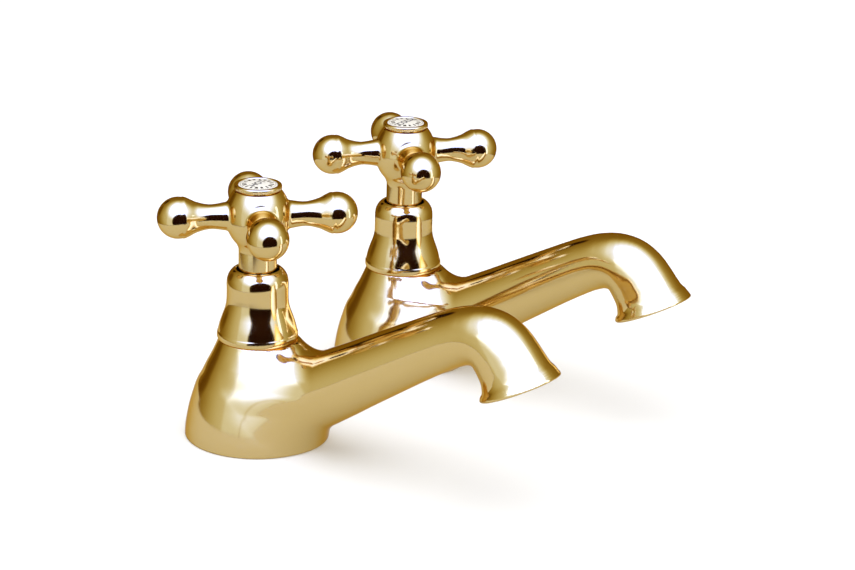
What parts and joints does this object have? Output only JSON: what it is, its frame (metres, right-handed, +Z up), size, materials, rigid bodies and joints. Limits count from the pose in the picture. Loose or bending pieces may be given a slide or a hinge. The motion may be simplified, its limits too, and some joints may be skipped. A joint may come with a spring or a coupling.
{
  "type": "basin pillar tap pair",
  "caption": "Pair of basin pillar taps, hot and cold: bell-shaped body, rising fixed spout with flared outlet, domed bonnet and ball-ended cross handle over a rising-spindle washer valve.",
  "frame": {"origin": "centre of the hot tap's foot, on the deck that the taps stand on", "axes": "+Z up, +X along the spouts and out over the bowl, +Y from the hot tap to the cold tap"},
  "size_m": [0.1554, 0.1598, 0.1495],
  "materials": {
    "polished_brass": "polished and lacquered",
    "plain_brass": "turned, unpolished",
    "ceramic": "glazed white ceramic",
    "rubber": "matt",
    "nylon": "satin",
    "fibre": "matt red fibre",
    "packing": "greased braid"
  },
  "bodies": {
    "root": {"hot_tap_body": "polished_brass", "hot_tail": "plain_brass", "hot_base_gasket": "rubber", "hot_deck_washer": "nylon", "hot_backnut": "plain_brass", "hot_headgear": "plain_brass", "hot_headgear_washer": "fibre", "hot_gland_packing": "packing", "hot_gland_nut": "plain_brass", "hot_bonnet": "polished_brass", "cold_tap_body": "polished_brass", "cold_tail": "plain_brass", "cold_base_gasket": "rubber", "cold_deck_washer": "nylon", "cold_backnut": "plain_brass", "cold_headgear": "plain_brass", "cold_headgear_washer": "fibre", "cold_gland_packing": "packing", "cold_gland_nut": "plain_brass", "cold_bonnet": "polished_brass"},
    "hot_jumper": {"hot_jumper": "plain_brass", "hot_tap_washer": "rubber", "hot_washer_nut": "plain_brass"},
    "hot_handle": {"hot_spindle": "plain_brass", "hot_handle": "polished_brass", "hot_handle_screw": "plain_brass", "hot_index_cap": "polished_brass", "hot_index_disc": "ceramic"},
    "cold_jumper": {"cold_jumper": "plain_brass", "cold_tap_washer": "rubber", "cold_washer_nut": "plain_brass"},
    "cold_handle": {"cold_spindle": "plain_brass", "cold_handle": "polished_brass", "cold_handle_screw": "plain_brass", "cold_index_cap": "polished_brass", "cold_index_disc": "ceramic"}
  },
  "joints": [
    {"name": "hot_spindle_lift", "type": "slide", "parent": "root", "child": "hot_jumper", "axis": [0, 0, 1], "range_m": [0, 0.0055]},
    {"name": "hot_spindle_turn", "type": "hinge", "parent": "hot_jumper", "child": "hot_handle", "pos_m": [0, 0, 0.0853], "axis": [0, 0, 1], "range_deg": [0, 765]},
    {"name": "cold_spindle_lift", "type": "slide", "parent": "root", "child": "cold_jumper", "axis": [0, 0, 1], "range_m": [0, 0.0055]},
    {"name": "cold_spindle_turn", "type": "hinge", "parent": "cold_jumper", "child": "cold_handle", "pos_m": [0, 0.1016, 0.0853], "axis": [0, 0, 1], "range_deg": [0, 765]}
  ],
  "couplings": [
    {"joint": "hot_spindle_lift", "follows": "hot_spindle_turn", "m_per_rad": 0.00040425},
    {"joint": "cold_spindle_lift", "follows": "cold_spindle_turn", "m_per_rad": 0.00040425}
  ]
}
